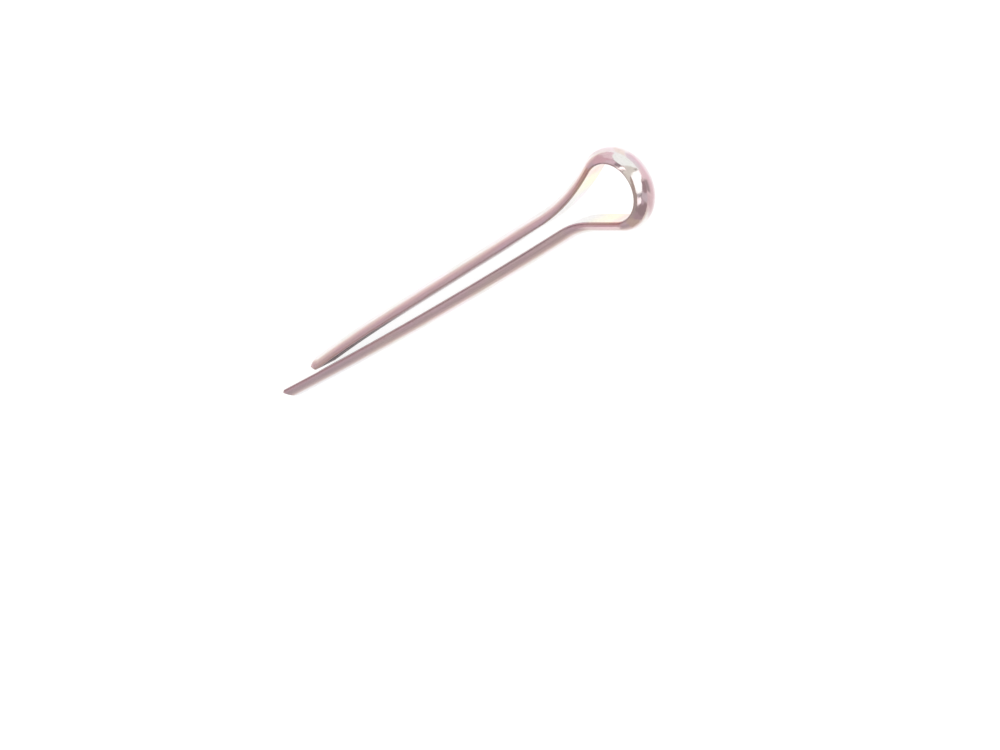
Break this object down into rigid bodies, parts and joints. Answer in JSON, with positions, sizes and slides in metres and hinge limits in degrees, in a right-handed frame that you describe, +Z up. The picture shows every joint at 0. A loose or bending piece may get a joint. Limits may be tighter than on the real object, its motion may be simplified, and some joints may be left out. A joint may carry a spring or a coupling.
{
  "type": "cotter pin",
  "caption": "Split cotter pin of half-round wire with an open round eye, a short leg and a long leg laid flat face to flat face, lying on its side.",
  "frame": {"origin": "centre of the pin's outline seen from above, on the surface that it lies on", "axes": "+X from the leg tips to the eye, +Y from the long leg to the short leg, +Z up, across the wire"},
  "size_m": [0.0318, 0.0044, 0.0014],
  "materials": {
    "plated_steel": "bright zinc plate on drawn steel wire, smooth with faint draw lines"
  },
  "bodies": {
    "root": {"cotter_pin": "plated_steel"}
  },
  "joints": []
}
